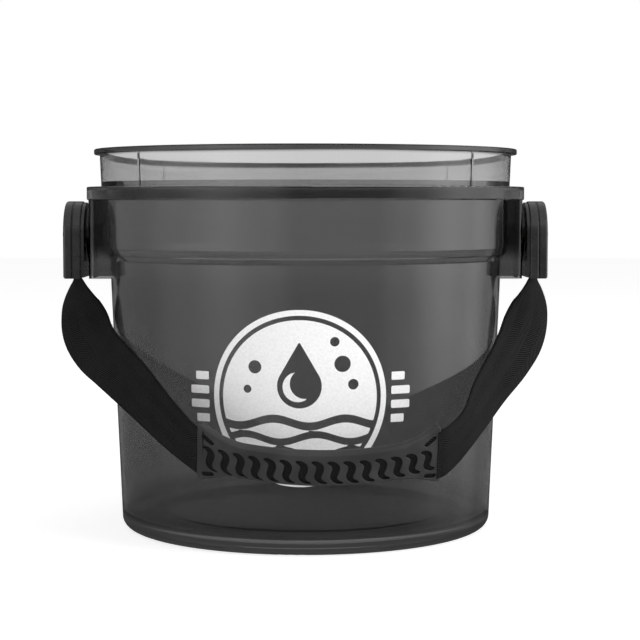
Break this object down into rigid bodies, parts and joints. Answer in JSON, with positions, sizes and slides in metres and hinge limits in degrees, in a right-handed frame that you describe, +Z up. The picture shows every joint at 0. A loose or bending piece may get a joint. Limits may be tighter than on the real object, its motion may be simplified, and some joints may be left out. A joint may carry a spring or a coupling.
{
  "type": "wash bucket",
  "caption": "Round translucent smoke-grey wash bucket with a stepped wall, flanged neck, side ears, swivel connectors and a black webbing handle with a slotted rubber grip.",
  "frame": {"origin": "on the bucket's axis, in the plane it stands on, at the mouth of the recess inside the foot ring", "axes": "+Z up out of the mouth, +X through the right-hand swivel, the handle hangs on the -Y side"},
  "size_m": [0.3424, 0.3152, 0.26],
  "materials": {
    "smoke_plastic": "clear smoke-tinted moulded polycarbonate, glossy",
    "black_plastic": "moulded black plastic, semi-gloss",
    "steel": "turned stainless steel",
    "brass": "turned brass",
    "nylon": "smooth nylon",
    "webbing": "woven black nylon webbing",
    "grip_rubber": "soft matt moulded rubber",
    "white_print": "screen-printed ink"
  },
  "bodies": {
    "bucket": {"bucket_shell": "smoke_plastic", "left_threaded_insert": "brass", "left_pivot_screw": "steel", "left_friction_washer": "nylon", "left_head_washer": "steel", "right_threaded_insert": "brass", "right_pivot_screw": "steel", "right_friction_washer": "nylon", "right_head_washer": "steel"},
    "left_swivel": {"left_back_plate": "black_plastic", "left_inner_shell": "black_plastic", "left_outer_shell": "black_plastic", "left_clamp_screws": "steel", "left_pivot_cap": "black_plastic", "left_strap_end": "webbing"},
    "right_swivel": {"right_back_plate": "black_plastic", "right_inner_shell": "black_plastic", "right_outer_shell": "black_plastic", "right_clamp_screws": "steel", "right_pivot_cap": "black_plastic", "right_strap_end": "webbing"},
    "handle": {"left_webbing": "webbing", "right_webbing": "webbing", "grip_sleeve": "grip_rubber", "grip_webbing": "webbing"}
  },
  "joints": [
    {"name": "handle_swing", "type": "hinge", "parent": "bucket", "child": "left_swivel", "pos_m": [-0.1588, 0, 0.2016], "axis": [-1, 0, 0], "range_deg": [0, 360]},
    {"name": "left_webbing_flex", "type": "hinge", "parent": "left_swivel", "child": "handle", "pos_m": [-0.1588, 0, 0.2016], "axis": [-1, 0, 0], "range_deg": [-98, 0], "deforming": ["left_webbing"]},
    {"name": "right_webbing_flex", "type": "hinge", "parent": "handle", "child": "right_swivel", "pos_m": [0.1588, 0, 0.2016], "axis": [-1, 0, 0], "range_deg": [0, 98], "deforming": ["right_webbing"]}
  ],
  "couplings": [
    {"joint": "left_webbing_flex", "follows": "handle_swing", "ratio": -0.2722},
    {"joint": "right_webbing_flex", "follows": "handle_swing", "ratio": 0.2722}
  ]
}
